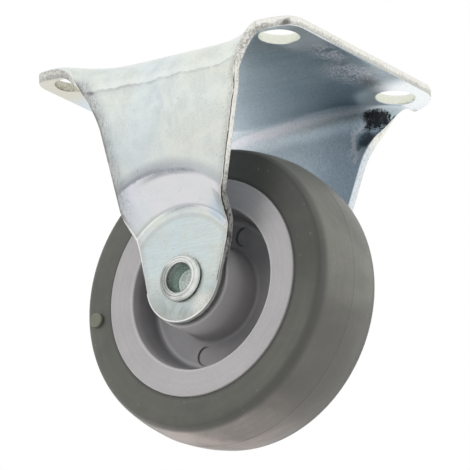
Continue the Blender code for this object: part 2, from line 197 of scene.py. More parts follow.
def ear_dip(x, y):
    start = PLATE_LENGTH / 2 - EAR_DIP_START
    out = max(abs(y) - (PLATE_WIDTH / 2 - EAR_DIP_WIDTH), 0.0) / EAR_DIP_WIDTH
    return EAR_DIP * smooth_step((abs(x) - start) / (EAR_DIP_START - EAR_DIP_END)) * out * out


def leg_half_width(above_axle):
    return LEG_END / math.cos(LEG_TAPER) + above_axle * math.tan(LEG_TAPER)


def lean_at(x):
    """How far past upright the sheet is turned: more at the flared edges of a leg."""
    flare = leg_half_width(FLARE_FOOT) - FOLD_STRAIGHT
    return math.radians(LEG_LEAN + FLARE_LEAN * smooth_step((x - FOLD_STRAIGHT) / flare))


def fold_half_width(share):
    foot = leg_half_width(AXLE_DROP - FOLD_RADIUS)
    late = share * (1 - NOTCH_DELAY * (1 - share) ** 4)
    return EAR_TIP + (foot - EAR_TIP) * late


def leg_plane(above_axle):
    lean = math.radians(LEG_LEAN)
    height = AXLE_DROP - FOLD_RADIUS * (1 + math.sin(lean))
    return FOLD_START + FOLD_RADIUS * math.cos(lean) + (above_axle - height) * math.tan(lean)


def crease_radius(across):
    return DISH_RADIUS - DISH_EDGE_DROP * abs(across) ** 3


def leg_point(x, above_axle):
    """A point of the leg's outer face, with the dish pressed in round the axle."""
    radius = math.hypot(x, above_axle)
    crease = crease_radius(min(abs(x) / leg_half_width(above_axle), 1.0))
    top = leg_plane(math.sqrt(max(crease * crease - x * x, 0.0)))
    bevel = PAD_OUT + (radius - PAD_RADIUS) * PAD_RISE / (PAD_BEVEL - PAD_RADIUS)
    foot = PAD_OUT + PAD_RISE
    ramp = foot + (radius - PAD_BEVEL) * (top - foot) / (crease - PAD_BEVEL)
    dish = soft_max(soft_max(PAD_OUT, bevel, VALLEY), ramp, VALLEY)
    out = PAD_OUT if above_axle < 0 else soft_min(leg_plane(above_axle), dish, CREASE)
    return Vector((x, -out, above_axle - AXLE_DROP))


def fold_point(across, share):
    x = across * fold_half_width(share)
    turn = (math.pi / 2 + lean_at(x)) * share
    out = fold_start(x) + fold_radius(x) * math.sin(turn)
    return Vector((x, -out, -fold_radius(x) * (1 - math.cos(turn)) - ear_dip(x, out)))


def flare_point(across, share):
    x = across * (fold_half_width(1) + (leg_half_width(FLARE_FOOT) - fold_half_width(1)) * share)
    lean, radius = lean_at(x), fold_radius(x)
    top_out, top_z = fold_start(x) + radius * math.cos(lean), -radius * (1 + math.sin(lean))
    drop = top_z - (FLARE_FOOT - AXLE_DROP)
    # A cubic that leaves the fold and meets the leg along their own slopes
    out = (top_out * (2 * share ** 3 - 3 * share ** 2 + 1)
           - drop * math.tan(lean) * (share ** 3 - 2 * share ** 2 + share)
           + leg_plane(FLARE_FOOT) * (3 * share ** 2 - 2 * share ** 3)
           - drop * math.tan(math.radians(LEG_LEAN)) * (share ** 3 - share ** 2))
    return Vector((x, -out, top_z - drop * share))


# %% Grids of points, each taken to its place in the press
def crowded(share):
    """Crowds the columns towards the sides of a leg, where the sheet curves most."""
    return math.sin(CROWDING * share) / math.sin(CROWDING)


def ring_point(across, radius):
    angle = across * (LEG_TAPER + math.asin(min(LEG_END / radius, 1.0)))
    return radius * math.sin(angle), radius * math.cos(angle)


def leg_grid_point(across, row):
    """The rows run down the fold, then the flare, then the flat, and then into the dish."""
    if row <= FOLD_ROWS:
        return fold_point(across, row / FOLD_ROWS)
    if row <= FLARE_ROWS:
        return flare_point(across, (row - FOLD_ROWS) / (FLARE_ROWS - FOLD_ROWS))
    crease = crease_radius(across)
    if row <= FLAT_ROWS:
        share = (row - FLARE_ROWS) / (FLAT_ROWS - FLARE_ROWS)
        x, height = ring_point(across, crease + CREASE)
        top = across * leg_half_width(FLARE_FOOT)
        return leg_point(top + (x - top) * share, FLARE_FOOT + (height - FLARE_FOOT) * share)
    stops = [(FLAT_ROWS, crease + CREASE), (43, crease - CREASE), (48, PAD_BEVEL + VALLEY),
             (51, PAD_BEVEL - VALLEY), (54, PAD_RADIUS + VALLEY), (57, PAD_RADIUS - VALLEY),
             (LEG_ROWS, LEG_END)]
    for (row_a, radius_a), (row_b, radius_b) in zip(stops, stops[1:]):
        if row <= row_b:
            radius = radius_a + (radius_b - radius_a) * (row - row_a) / (row_b - row_a)
            return leg_point(*ring_point(across, radius))


def end_grid_point(column, row):
    """Rings round the axle hole, from straight up to straight down."""
    side = math.pi / 2 + LEG_TAPER
    angle = side * crowded(column / COLUMNS) if column <= COLUMNS else (
        side + (math.pi - side) * (column - COLUMNS) / END_COLUMNS)
    radius = LEG_END + (AXLE_HOLE - LEG_END) * row / END_ROWS
    return leg_point(radius * math.sin(angle), radius * math.cos(angle))


def plate_grid_point(column, row):
    """The plate, from its middle line out to the fold or to the rounded ear."""
    if column <= COLUMNS:
        x = crowded(column / COLUMNS) * EAR_TIP
        side = fold_start(x)
    else:
        share = (column - COLUMNS) / EAR_COLUMNS
        angle = math.pi / 2 * share
        x = EAR_TIP + EAR_CORNER * (math.sin(angle) if PLATE_ROWS[row] == 1 else share)
        side = PLATE_WIDTH / 2 - EAR_CORNER + EAR_CORNER * math.cos(angle)
    y = side * PLATE_ROWS[row]
    return Vector((x, -y, -ear_dip(x, y)))


def pressed(name, columns, rows, place):
    """Adds a flat grid, and moves each of its points to its place."""
    only()
    bpy.ops.mesh.primitive_grid_add(x_subdivisions=columns, y_subdivisions=rows, size=1)
    piece = bpy.context.object
    piece.name = name
    for point in piece.data.vertices:
        point.co = place(round((point.co.x + 0.5) * columns), round((0.5 - point.co.y) * rows))
    print(name, "has", len(piece.data.vertices), "points")
    return piece


leg = pressed("leg_blank", COLUMNS, LEG_ROWS,
              lambda column, row: leg_grid_point(crowded(column / COLUMNS), row))
leg_end = pressed("leg_end_blank", COLUMNS + END_COLUMNS, END_ROWS, end_grid_point)
plate = pressed("plate_blank", COLUMNS + EAR_COLUMNS, len(PLATE_ROWS) - 1, plate_grid_point)

# %% Join the quarter and mirror it twice
only(plate)
leg.select_set(True)
leg_end.select_set(True)
bpy.ops.object.join()
bracket = bpy.context.object
bracket.name = "bracket_sheet"
mirror = bracket.modifiers.new("mirror", "MIRROR")
mirror.use_axis = (True, True, False)
mirror.merge_threshold = 1e-6
apply_modifiers(bracket)
start_editing(bracket)
bpy.ops.mesh.remove_doubles(threshold=1e-6)
bpy.ops.mesh.normals_make_consistent(inside=False)
stop_editing()
if max(bracket.data.polygons, key=lambda face: face.area).normal.z < 0:
    start_editing(bracket)
    bpy.ops.mesh.flip_normals()
    stop_editing()
outer_face = BVHTree.FromPolygons([point.co for point in bracket.data.vertices],
                                  [face.vertices[:] for face in bracket.data.polygons])
print("outer face:", len(bracket.data.polygons), "faces")

# %% [markdown]
# The sheet gets its thickness by pushing a copy of the outer face inwards. Blender's Solidify would push
# each point along its normal, and that would slide the cut sides of the dished legs out of line. The press
# doesn't do that, so the push is done point by point, with no sideways part below the flare.

# %% Give the sheet its thickness
def sheet_step(corner):
    normal = corner.normal
    above = corner.co.z + AXLE_DROP
    sideways = smooth_step((above - FLARE_FOOT) / (AXLE_DROP - FOLD_RADIUS - FLARE_FOOT))
    way = Vector((normal.x * sideways, normal.y, normal.z))
    return -way * SHEET * corner.calc_shell_factor() / normal.dot(way)


shape = bmesh.new()
shape.from_mesh(bracket.data)
shape.normal_update()
steps = shape.verts.layers.float_vector.new("sheet_step")
for corner in shape.verts:
    corner[steps] = sheet_step(corner)
made = bmesh.ops.extrude_face_region(shape, geom=shape.faces[:], use_keep_orig=True)
for item in made["geom"]:
    if isinstance(item, bmesh.types.BMVert):
        item.co += item[steps]
shape.verts.layers.float_vector.remove(steps)
bmesh.ops.recalc_face_normals(shape, faces=shape.faces)
shape.to_mesh(bracket.data)
shape.free()
print("sheet:", len(bracket.data.polygons), "faces")

# %% [markdown]
# Each ear has a punched hole with slightly rounded rims. A bevel after the cut would have to squeeze
# between the hole and the faces beside it, so the tool itself is flared at both faces of the sheet, and one
# Boolean cuts the hole and its rims together. A narrow bevel then breaks the other cut edges, because no
# real edge is perfectly sharp, and a bright line along it is what the eye reads as thick metal.

# %% Make the punch, and punch the screw holes
def flared_half():
    """The punch's section: straight, then out along a quarter circle at the face of the sheet."""
    section = [(HOLE_RADIUS + BROKEN_EDGE, 2 * SHEET)]
    for degrees in (90, 60, 30, 0):
        turn = math.radians(degrees)
        section.append((HOLE_RADIUS + BROKEN_EDGE * (1 - math.cos(turn)),
                        SHEET / 2 - BROKEN_EDGE * (1 - math.sin(turn))))
    return section


half = flared_half()
section = half + [(radius, -along) for radius, along in reversed(half)]
punches = []
for side_x in (-1, 1):
    for side_y in (-1, 1):
        only()
        centre = Vector((side_x * HOLE_X, side_y * HOLE_Y, section[0][1] - SHEET / 2))
        bpy.ops.mesh.primitive_circle_add(vertices=64, radius=section[0][0], fill_type="NGON",
                                          location=centre)
        punch = bpy.context.object
        bpy.ops.object.transform_apply(location=True, rotation=False, scale=False)
        start_editing(punch, "FACE")
        for (radius, along), (next_radius, next_along) in zip(section, section[1:]):
            bpy.ops.mesh.extrude_region_move(TRANSFORM_OT_translate={"value": (0, 0, next_along - along)})
            grown = next_radius / radius
            bpy.ops.transform.resize(value=(grown, grown, 1), center_override=centre)
        bpy.ops.mesh.select_all(action="SELECT")
        bpy.ops.mesh.normals_make_consistent(inside=False)
        stop_editing()
        punches.append(punch)
print("the punch is", [round(1000 * side, 2) for side in punch.dimensions], "mm")
cut_away(bracket, punches)

# %% Break the edges
TIGHT_CORNER = Vector((0.0312, 0.0339, -0.0034))
shape = bmesh.new()
shape.from_mesh(bracket.data)
shape.normal_update()
share_of_bevel = shape.edges.layers.float.new("bevel_weight_edge")
for edge in shape.edges:
    if math.radians(50) < edge.calc_face_angle(0.0) < math.radians(125):
        # The bevel fades out in the tight inner corner under each ear's tip
        tight = min((Vector((abs(end.co.x), abs(end.co.y), end.co.z)) - TIGHT_CORNER).length
                    for end in edge.verts)
        middle = (edge.verts[0].co + edge.verts[1].co) / 2
        from_hole = math.hypot(abs(middle.x) - HOLE_X, abs(middle.y) - HOLE_Y)
        at_hole = from_hole < HOLE_RADIUS + 2 * BROKEN_EDGE
        edge[share_of_bevel] = 0.0 if at_hole else min(max((tight - 0.0005) / 0.0012, 0.0), 1.0)
shape.to_mesh(bracket.data)
shape.free()
broken_edge = bracket.modifiers.new("broken_edge", "BEVEL")
broken_edge.width = BROKEN_EDGE
broken_edge.segments = 3
broken_edge.limit_method = "WEIGHT"
broken_edge.use_clamp_overlap = False
apply_modifiers(bracket)
shade(bracket, 40)
print("bracket:", len(bracket.data.polygons), "faces")

# %% [markdown]
# The finish of a cut edge differs from the finish of the sheet, and it changes through the sheet's
# thickness. So each point stores how deep in the sheet it lies, and how near it is to a cut edge. The zinc
# reads both.

# %% Store depth in the sheet and nearness to an edge
def store(piece, name, values):
    layer = piece.data.attributes.new(name, "FLOAT", "POINT")
    layer.data.foreach_set("value", values)
    print(piece.name, name, "runs from", round(min(values), 3), "to", round(max(values), 3))


depth = [min(outer_face.find_nearest(point.co)[3] / SHEET, 1.0) for point in bracket.data.vertices]
store(bracket, "depth", depth)
cut_faces = [face.vertices[:] for face in bracket.data.polygons
             if 0.12 < sum(depth[i] for i in face.vertices) / len(face.vertices) < 0.88]
cut_edge = BVHTree.FromPolygons([point.co for point in bracket.data.vertices], cut_faces)
store(bracket, "edge_reach", [cut_edge.find_nearest(point.co)[3] * 1000 for point in bracket.data.vertices])

# %% [markdown]
# ## Turned pieces: the rivet, the hub and the tyre
#
# The rivet, the hub and the tyre are round about the axle. Each starts as one point that is extruded along
# half of its section, as a pencil would draw it. Its corners are rounded, and Spin turns it about the axle,
# as on a lathe. That keeps every edge a true circle and every rounding its own size.

# %% Draw a section and spin it about the axle
AXLE = Vector((0, 0, -AXLE_DROP))


def turned(name, corners, segments, closed=True):
    """A corner is (distance from the axle, place along it, length of its rounding)."""
    only()
    first = corners[0]
    bpy.ops.mesh.primitive_plane_add(size=0.001, location=(first[0], first[1], AXLE.z))
    piece = bpy.context.object
    piece.name = name
    bpy.ops.object.transform_apply(location=True, rotation=False, scale=False)
    start_editing(piece)
    bpy.ops.mesh.merge(type="CENTER")
    path = corners + [first] if closed else corners
    for here, there in zip(path, path[1:]):
        step = (there[0] - here[0], there[1] - here[1], 0)
        bpy.ops.mesh.extrude_vertices_move(TRANSFORM_OT_translate={"value": step})
    bpy.ops.mesh.select_all(action="SELECT")
    bpy.ops.mesh.remove_doubles(threshold=1e-7)
    for radius, along, rounding in corners:
        if rounding:
            corner = Vector((radius, along, AXLE.z))
            pick(piece, lambda place: (place - corner).length < 2e-6)
            bpy.ops.mesh.bevel(offset=rounding, segments=4, affect="VERTICES")
    bpy.ops.mesh.select_all(action="SELECT")
    bpy.ops.mesh.spin(steps=segments, angle=math.tau, center=AXLE, axis=(0, 1, 0))
    bpy.ops.mesh.select_all(action="SELECT")
    bpy.ops.mesh.remove_doubles(threshold=1e-6)
    bpy.ops.mesh.normals_make_consistent(inside=False)
    stop_editing()
    print(name, "has", len(piece.data.polygons), "faces")
    return piece


# %% [markdown]
# ### The rivet
#
# Its near end is hollow, and it was rolled over against the leg: a round lip with a bore inside. The far
# end is a plain low head.

# %% Turn the rivet
rivet = turned("rivet", [
    (0.0, -0.0170, 0), (0.0034, -0.0170, 0.0003), (0.00362, -0.0210, 0),
    (0.00382, -0.0220, 0.0003), (0.0047, -0.0222, 0.0003), (0.0050, -0.02195, 0.0001),
    (0.0052, -0.0221, 0.0002), (0.0058, -0.0218, 0.0006), (0.0060, -0.0207, 0.0004),
    (0.0050, -0.0206, 0), (0.0050, 0.0207, 0), (0.0080, 0.0207, 0.0003),
    (0.0080, 0.0231, 0.0012), (0.0, 0.0231, 0)], 96, closed=False)
shade(rivet, 35)

# %% [markdown]
# ### The hub
#
# One grey plastic moulding: a ring with a rounded lip, a recess that narrows to a web, and a long barrel in
# the middle. The mould's pins left shallow round marks on the near side of the web.

# %% Turn the hub and press in the pin marks
def other_half(corners):
    return [(radius, -along, rounding) for radius, along, rounding in reversed(corners)]


half_hub = [(0.00535, 0.0175, 0.0004), (0.0116, 0.0175, 0.0006), (0.0118, 0.0050, 0.0009),
            (0.0193, 0.0050, 0.0009), (0.0210, 0.0128, 0.0006), (0.0278, 0.0128, 0.0004)]
hub = turned("hub", half_hub + other_half(half_hub), 144)
PIN_MARKS, PIN_MARK_REACH, PIN_MARK_RADIUS = (62, 257), 0.0157, 0.0024
marks = []
for degrees in PIN_MARKS:
    only()
    angle = math.radians(degrees)
    place = AXLE + Vector((PIN_MARK_REACH * math.cos(angle), -0.0050, PIN_MARK_REACH * math.sin(angle)))
    bpy.ops.mesh.primitive_cylinder_add(vertices=48, radius=PIN_MARK_RADIUS, depth=0.0007, location=place,
                                        rotation=(math.pi / 2, 0, 0))
    marks.append(bpy.context.object)
cut_away(hub, marks)
shade(hub, 35)

# %% [markdown]
# ### The tyre
#
# A softer plastic moulded over the hub. Its tread bulges, so that the castor turns easily on a floor. A
# fine line runs round the middle where the mould's halves met, and a small stub stands on its near side.

# %% Turn the tyre and add its stub
CROWN_RADIUS, TREAD_RADIUS, WHEEL_RADIUS = 0.038, 0.0374, 0.0375
half_tyre = [(0.0278, 0.0122, 0.0002), (0.0330, 0.0124, 0), (0.0349, 0.01225, 0.0008),
             (0.0360, 0.0106, 0.0012)]
for step in range(8, -1, -1):
    along = 0.0009 * step + 0.0002
    drop = CROWN_RADIUS - math.sqrt(CROWN_RADIUS ** 2 - along ** 2)
    half_tyre.append((TREAD_RADIUS - drop, along, 0))
tyre = turned("tyre_rubber", half_tyre + [(WHEEL_RADIUS, 0.0, 0)] + other_half(half_tyre), 160)
only()
STUB_REACH, angle = 0.0321, math.radians(186)
stub_place = AXLE + Vector((STUB_REACH * math.cos(angle), -0.0125, STUB_REACH * math.sin(angle)))
bpy.ops.mesh.primitive_cylinder_add(vertices=40, radius=0.00185, depth=0.0019, location=stub_place,
                                    rotation=(math.pi / 2, 0, 0))
stub = bpy.context.object
bpy.ops.object.transform_apply(location=True, rotation=True, scale=False)
start_editing(stub)
pick(stub, lambda place: place.y < -0.0130)
bpy.ops.mesh.bevel(offset=0.0003, segments=3, affect="EDGES")
stop_editing()
only(tyre)
stub.select_set(True)
bpy.ops.object.join()
shade(tyre, 35)

# %% [markdown]
# ## Finishes
#
# A finish is a small network of nodes. The helpers place a node, join sockets and keep the lines short.

# %% Place nodes and join them
def feed(node, inputs):
    """Joins or sets each named input of a node."""
    for name, value in inputs.items():
        if isinstance(value, bpy.types.NodeSocket):
            tree.links.new(value, node.inputs[name])
        else:
            node.inputs[name].default_value = value
    return node


def put(kind, inputs=None, **settings):
    """Adds a node to the network that is being built. That network is always called tree."""
    made = tree.nodes.new("ShaderNode" + kind)
    for name, value in settings.items():
        setattr(made, name, value)
    return feed(made, inputs or {})


def use(group, inputs):
    return put("Group", inputs, node_tree=group)


def new_group(name, inputs, outputs):
    group = bpy.data.node_groups.new(name, "ShaderNodeTree")
    for socket, kind, value in inputs:
        made = group.interface.new_socket(socket, in_out="INPUT", socket_type="NodeSocket" + kind)
        if value is not None:
            made.default_value = value
    for socket in outputs:
        group.interface.new_socket(socket, in_out="OUTPUT", socket_type="NodeSocketFloat")
    return group, group.nodes.new("NodeGroupInput").outputs, group.nodes.new("NodeGroupOutput")


def new_material(name, **sockets):
    made = bpy.data.materials.new(name)
    made.use_nodes = True
    shader = made.node_tree.nodes["Principled BSDF"]
    for socket, value in sockets.items():
        shader.inputs[socket].default_value = value
    return made, made.node_tree, shader


def tell(what):
    """Says how far the network has grown."""
    print(what, "has", len(tree.nodes), "nodes")


# %% Reckon with masks and mix colours
def maths(operation, a, b=0.0, c=0.0):
    return put("Math", {0: a, 1: b, 2: c}, operation=operation).outputs[0]


def plus(a, b):
    return maths("ADD", a, b)


def minus(a, b):
    return maths("SUBTRACT", a, b)


def more_of(a, b):
    return maths("MAXIMUM", a, b)


def size_of(a):
    return maths("ABSOLUTE", a)


def off(a, b):
    """How far one value is from another, up or down."""
    return size_of(minus(a, b))


def both(*masks):
    """Multiplies masks, so that only what lies in all of them is left."""
    product = masks[0]
    for mask in masks[1:]:
        product = maths("MULTIPLY", product, mask)
    return product


def fade(value, low, high, start=0.0, end=1.0):
    """Carries a value from one range to another, softly at both ends."""
    return put("MapRange", {"Value": value, "From Min": low, "From Max": high, "To Min": start,
                            "To Max": end}, interpolation_type="SMOOTHSTEP").outputs[0]


def vary(mask, start, end):
    """Turns a mask into a strength that varies between two values."""
    return fade(mask, 0, 1, start, end)


def band(value, low, high, low_soft, high_soft):
    """Is 1 between low and high, and fades out beyond each."""
    return both(fade(value, low - low_soft, low), fade(value, high + high_soft, high))


def blend(share, under, over):
    under, over = [(*colour, 1) if isinstance(colour, tuple) else colour for colour in (under, over)]
    return put("Mix", {0: share, 6: under, 7: over}, data_type="RGBA").outputs[2]


def paint(under, colour, *masks):
    """Lays a colour over another, where all of the masks let it."""
    return blend(both(*masks), under, colour)


def noise(vector, scale, detail=3.0, roughness=0.5):
    return put("TexNoise", {"Vector": vector, "Scale": scale, "Detail": detail,
                            "Roughness": roughness}).outputs[0]


def stretched(vector, scale):
    return put("Mapping", {"Vector": vector, "Scale": scale}).outputs[0]


def relief(height, strength, distance):
    return put("Bump", {"Height": height, "Strength": strength, "Distance": distance}).outputs[0]


# %% [markdown]
# ### Effects that several finishes share
#
# Clouds, scratches, specks and turned rings show up on metal, plastic and rubber alike, only larger, finer,
# stronger or fainter. Each is built once as a group, and each finish uses it with its own numbers.

# %% Clouds: soft patches with a finer grain
tree, start, end = new_group("clouds", [("Vector", "Vector", None), ("Scale", "Float", 60.0),
                                        ("Grain Scale", "Float", 900.0)], ["Patches", "Grain"])
patches = put("TexNoise", {"Vector": start["Vector"], "Scale": start["Scale"], "Detail": 4.0,
                           "Roughness": 0.55, "Distortion": 0.6})
grain = noise(start["Vector"], start["Grain Scale"], roughness=0.6)
tree.links.new(fade(patches.outputs[0], 0.32, 0.68), end.inputs["Patches"])
tree.links.new(fade(grain, 0.3, 0.7), end.inputs["Grain"])
clouds = tree


def cloudy(vector, scale, grain_scale):
    return use(clouds, {"Vector": vector, "Scale": scale, "Grain Scale": grain_scale}).outputs


tell("clouds")

# %% Scratches: thin lines in a few directions
tree, start, end = new_group("scratches", [("Vector", "Vector", None), ("Scale", "Float", 1.0),
                                           ("Amount", "Float", 0.5)], ["Mask"])
lines = None
for turn, length in (((0.2, 0.5, 0.3), 40), ((1.1, -0.4, 0.9), 60), ((-0.6, 0.9, 1.7), 30)):
    turned_space = put("Mapping", {"Vector": start["Vector"], "Rotation": turn}).outputs[0]
    long_space = stretched(turned_space, (length, 900, 900))
    scaled = put("VectorMath", {0: long_space, "Scale": start["Scale"]}, operation="SCALE")
    line = fade(noise(scaled.outputs[0], 1.0, 1.0), 0.68, 0.76)
    lines = line if lines is None else more_of(lines, line)
tree.links.new(both(lines, start["Amount"]), end.inputs["Mask"])
scratches = tree
tell("scratches")

# %% Specks: small spots of uneven shape, here and there
tree, start, end = new_group("specks", [("Vector", "Vector", None), ("Scale", "Float", 500.0),
                                        ("Share", "Float", 0.2)], ["Mask"])
ragged = put("TexNoise", {"Vector": start["Vector"], "Scale": start["Scale"], "Detail": 2.0})
ragged = put("VectorMath", {0: ragged.outputs["Color"], "Scale": 0.0009}, operation="SCALE")
ragged = put("VectorMath", {0: start["Vector"], 1: ragged.outputs[0]})
cells = put("TexVoronoi", {"Vector": ragged.outputs[0], "Scale": start["Scale"]})
chosen = put("SeparateColor", {0: cells.outputs["Color"]})
here = maths("LESS_THAN", chosen.outputs[0], start["Share"])
spot = plus(cells.outputs["Distance"], both(chosen.outputs[1], 0.3))
spot = fade(spot, 0.2, 0.45, 1.0, 0.0)
tree.links.new(both(here, spot), end.inputs["Mask"])
specks = tree
tell("specks")

# %% Turned rings: how far a place is from the axle, and fine uneven rings about it
tree, start, end = new_group("turned_rings", [("Vector", "Vector", None), ("Scale", "Float", 1500.0)],
                             ["Radius", "Rings", "Along"])
place = put("SeparateXYZ", {0: start["Vector"]})
across, height = place.outputs[0], plus(place.outputs[2], AXLE_DROP)
squares = plus(both(across, across), both(height, height))
radius = maths("SQRT", squares)
ring = put("TexNoise", {"W": radius, "Scale": start["Scale"], "Detail": 2.0}, noise_dimensions="1D")
tree.links.new(radius, end.inputs["Radius"])
tree.links.new(fade(ring.outputs[0], 0.3, 0.7), end.inputs["Rings"])
tree.links.new(size_of(place.outputs[1]), end.inputs["Along"])
turned_rings = tree
tell("turned_rings")

# %% [markdown]
# ### Zinc plating
#
# Bright zinc is a pale metal, a little blue, yellow or pink from place to place, because the film on it is
# as thin as the skin of a soap bubble. The press leaves its marks too: a line where the punch stopped, a
# dull band where the sheet stretched, and edges that are smooth where they were cut and rough where they
# tore. Some tones are painted light and shade: the stretched band is also painted darker as a reflection, and
# the inner faces, the dish, the pad's rim and the rivet carry painted reflections, highlights and shade.

# %% The zinc of the bracket: where things are
zinc, tree, shader = new_material("zinc_plate", Metallic=1.0, Roughness=0.2)
space = put("TexCoord").outputs["Object"]
x, y, z = put("SeparateXYZ", {0: space}).outputs
from_axle = use(turned_rings, {"Vector": space}).outputs["Radius"]
depth_in = put("Attribute", attribute_name="depth").outputs["Fac"]
edge_reach = put("Attribute", attribute_name="edge_reach").outputs["Fac"]
on_inside = fade(depth_in, 0.85, 0.97)
on_outside = fade(depth_in, 0.15, 0.03)
on_edge = fade(edge_reach, 0.02, 0.25, 1.0, 0.0)
on_legs = fade(z, -0.004, -0.007)
upper_half = fade(z, -AXLE_DROP, 0.004 - AXLE_DROP)
near_side = maths("LESS_THAN", y, 0.0)


def distance_to(place, stretch=(1, 1, 1)):
    """How many millimetres off a place is, counted more or less in each direction."""
    away = put("VectorMath", {0: space, 1: place}, operation="SUBTRACT").outputs[0]
    away = stretched(away, [1000 * share for share in stretch])
    return put("VectorMath", {0: away}, operation="LENGTH").outputs["Value"]


tell("zinc_plate")

# %% The film on the zinc: bluish, yellowish and pinkish by turns
large_patches, large_grain = cloudy(space, 55.0, 1500.0)
small_patches, small_grain = cloudy(space, 230.0, 3200.0)
drawn_patches, drawn_grain = cloudy(stretched(space, (1, 1, 0.12)), 900.0, 2400.0)
rolled_patches, rolled_grain = cloudy(stretched(space, (0.06, 1, 1)), 500.0, 2200.0)
yellowish = plus(both(large_patches, 0.65), fade(x, -0.004, 0.013, 0.0, 0.45))
bright = blend(yellowish, (0.745, 0.815, 0.82), (0.79, 0.815, 0.705))
dull = blend(yellowish, (0.625, 0.69, 0.7), (0.715, 0.735, 0.655))
film = blend(fade(z, -0.028, -0.009), dull, bright)
film = paint(film, (0.5, 0.56, 0.58), small_patches, 0.14)
film = paint(film, (0.45, 0.47, 0.46), drawn_patches, small_patches, on_outside, 0.16)
film = paint(film, (0.48, 0.51, 0.52), small_grain, vary(small_patches, 0.08, 0.3))
film = paint(film, (0.9, 0.93, 0.9), large_grain, 0.12)
on_pad = fade(from_axle, 0.0162, 0.0154)
film = paint(film, (0.58, 0.69, 0.72), on_pad, vary(small_patches, 0.6, 0.1))
film = paint(film, (0.38, 0.45, 0.46), on_pad, rolled_grain, 0.24)
below_axle = fade(z, 0.002 - AXLE_DROP, -0.01 - AXLE_DROP)
film = paint(film, (0.35, 0.385, 0.36), below_axle, vary(small_patches, 0.55, 0.95))
left_low = both(fade(x, -0.004, -0.016), fade(z, -0.016, -0.03))
film = paint(film, (0.34, 0.36, 0.36), left_low, 0.1)
beige = both(fade(distance_to((0.0065, -0.0204, -0.0655), (1, 0, 1)), 4.5, 1.5),
             vary(small_grain, 0.4, 0.8))
film = paint(film, (0.82, 0.8, 0.75), beige, near_side)
tell("zinc_plate")

# %% The inner faces are bluer and hazier on the legs and round the right ear's hole, with painted reflections, a painted glow round that hole and a painted highlight along the fold
under = blend(large_patches, (0.42, 0.52, 0.565), (0.5, 0.575, 0.6))
under = paint(under, (0.2, 0.24, 0.27), small_grain, 0.5)
under = paint(under, (0.24, 0.29, 0.33), rolled_patches, 0.25)
# Painted reflection: darker towards the far right.
under = paint(under, (0.17, 0.22, 0.26), fade(y, 0.002, 0.016), fade(x, 0.004, 0.02), 0.36)
hazy = blend(both(drawn_grain, 0.45), (0.8, 0.92, 1.0), (0.5, 0.61, 0.72))
inner = blend(on_legs, under, hazy)
# Painted reflections: the far leg darker on its right, the faces lighter towards the left and on the near
# side.
inner = paint(inner, (0.2, 0.31, 0.42), on_legs, fade(x, 0.002, 0.014, 0.0, 0.42))
inner = paint(inner, (0.86, 0.92, 0.96), fade(x, 0.018, -0.02, 0.0, 0.75))
inner = paint(inner, (0.66, 0.72, 0.75), fade(y, 0.006, -0.014), fade(x, 0.022, 0.01), 0.35)
inner = paint(inner, (0.16, 0.22, 0.27), large_grain, 0.2)
inner = paint(inner, (0.86, 0.92, 0.96), small_grain, vary(large_grain, 0.2, 0.0))
# The left ear keeps the film's yellowish tint, and the right ear is painted near white as a reflection.
ear = fade(size_of(x), 0.0265, 0.0315)
ear = both(ear, fade(size_of(y), 0.012, 0.02))
ear_film_and_reflection = blend(fade(x, -0.01, 0.01), (0.68, 0.66, 0.575), (0.9, 0.94, 0.95))
inner = paint(inner, ear_film_and_reflection, ear)
# A painted cyan glow round the right ear's hole, which is also hazier.
painted_light_halo = fade(distance_to((0.03, 0.025, -0.0025)), 10.5, 6.5)
painted_light_halo = both(painted_light_halo, minus(1.0, ear))
inner = paint(inner, (0.72, 0.86, 0.92), painted_light_halo, 0.7)
# A painted pinkish highlight along the inner fold.
slanted = both(minus(z, both(x, 0.055)), 1000)
fold_highlight = both(band(slanted, -4.0, -3.2, 1.4, 0.7), fade(z, -0.0025, -0.00263),
                  fade(x, 0.02, -0.012, 0.45, 1.0))
inner = paint(inner, (0.9, 0.885, 0.935), fold_highlight, vary(small_grain, 0.35, 0.95))
film = paint(film, inner, on_inside)
haze = both(on_inside, more_of(both(on_legs, 0.55), both(painted_light_halo, 0.5)))
tell("zinc_plate")

# %% The dished part: a pinkish ramp with a painted bluish reflection at its right end, a dull stretched band above it that is also painted darker as a reflection, a painted highlight on the bevel, and painted shade in two valleys below
from_dish = distance_to((-0.002, 0, -AXLE_DROP), (1, 0, 1))
dish = both(band(from_dish, 18.6, 26.2, 0.3, 0.7), upper_half, on_outside)
film = paint(film, (0.71, 0.7, 0.725), dish, vary(small_patches, 0.9, 0.6))
# A painted bluish reflection at the right end of the ramp.
painted_blue_reflection = both(dish, fade(distance_to((0.0108, 0, -0.043), (1, 0, 1)), 5.0, 0.5))
film = paint(film, (0.5, 0.59, 0.66), painted_blue_reflection)
left_ramp = both(dish, fade(x, -0.006, -0.0155))
film = paint(film, (0.6, 0.67, 0.74), left_ramp, 0.6)
ragged_dish = plus(from_dish, vary(small_patches, -0.12, 0.12))
# The band where the sheet stretched is dull, and it is also painted darker as a reflection.
stretch = both(band(ragged_dish, 26.6, 27.3, 0.9, 2.9), upper_half)
stretch = both(stretch, fade(small_grain, 0.2, 0.9, 1.0, 0.72))
stretched_band_reflection_depth = fade(x, -0.006, 0.012, 0.72, 0.5)
film = paint(film, (0.31, 0.32, 0.37), stretch, stretched_band_reflection_depth)
# Painted reflection: the darkest, crisp foot of the band.
crisp = both(band(ragged_dish, 26.35, 26.7, 0.25, 0.9), upper_half, on_outside,
             fade(x, 0.002, -0.006))
film = paint(film, (0.2, 0.21, 0.24), crisp, 0.45)
